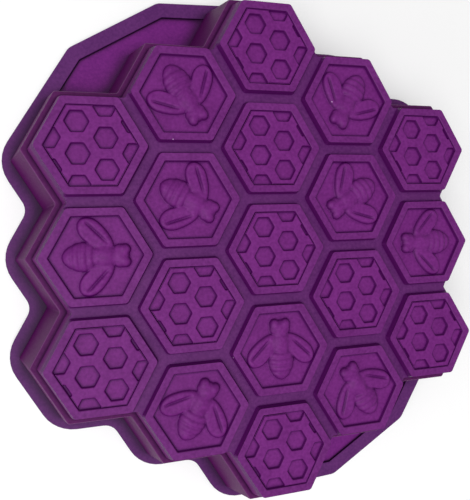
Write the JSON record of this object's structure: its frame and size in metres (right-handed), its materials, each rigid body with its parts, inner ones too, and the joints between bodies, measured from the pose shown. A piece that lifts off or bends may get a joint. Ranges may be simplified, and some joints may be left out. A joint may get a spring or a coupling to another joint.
{
  "type": "silicone honeycomb mould",
  "caption": "Flexible silicone mould with a honeycomb of hexagonal cells, bee and comb reliefs, stepped walls, a wavy rim and pull handles.",
  "frame": {"origin": "middle of the rim's pouring-side face, on which the mould lies with its cells up", "axes": "+Z from the pouring side up to the cell faces, +Y along the middle column of five cells, +X across the columns"},
  "size_m": [0.2594, 0.2788, 0.0485],
  "materials": {
    "silicone_face": "satin purple silicone, the raised borders of the cells",
    "silicone_relief": "satin purple silicone, the bee and comb reliefs",
    "silicone_channel": "matt purple silicone, slightly bluer, the channels between the cells",
    "silicone_wall": "matt purple silicone with a dull greyish bloom, the drafted walls and the ledge",
    "silicone_rim": "satin purple silicone, the rim",
    "silicone_handle": "satin deep purple silicone, the sunken handle panels"
  },
  "bodies": {
    "root": {"rim_flange": "silicone_rim", "handle_panel_upper_left": "silicone_handle", "handle_panel_lower_right": "silicone_handle", "skirt_wall": "silicone_wall", "ledge_ring": "silicone_wall", "upper_wall": "silicone_wall", "channel_web": "silicone_channel", "comb_cell_1": "silicone_face", "comb_relief_1": "silicone_relief", "comb_cell_2": "silicone_face", "comb_relief_2": "silicone_relief", "comb_cell_3": "silicone_face", "comb_relief_3": "silicone_relief", "comb_cell_4": "silicone_face", "comb_relief_4": "silicone_relief", "comb_cell_5": "silicone_face", "comb_relief_5": "silicone_relief", "comb_cell_6": "silicone_face", "comb_relief_6": "silicone_relief", "comb_cell_7": "silicone_face", "comb_relief_7": "silicone_relief", "comb_cell_8": "silicone_face", "comb_relief_8": "silicone_relief", "comb_cell_9": "silicone_face", "comb_relief_9": "silicone_relief", "comb_cell_10": "silicone_face", "comb_relief_10": "silicone_relief", "bee_cell_1": "silicone_face", "bee_relief_1": "silicone_relief", "bee_cell_2": "silicone_face", "bee_relief_2": "silicone_relief", "bee_cell_3": "silicone_face", "bee_relief_3": "silicone_relief", "bee_cell_4": "silicone_face", "bee_relief_4": "silicone_relief", "bee_cell_5": "silicone_face", "bee_relief_5": "silicone_relief", "bee_cell_6": "silicone_face", "bee_relief_6": "silicone_relief", "bee_cell_7": "silicone_face", "bee_relief_7": "silicone_relief", "bee_cell_8": "silicone_face", "bee_relief_8": "silicone_relief", "bee_cell_9": "silicone_face", "bee_relief_9": "silicone_relief"}
  },
  "joints": []
}
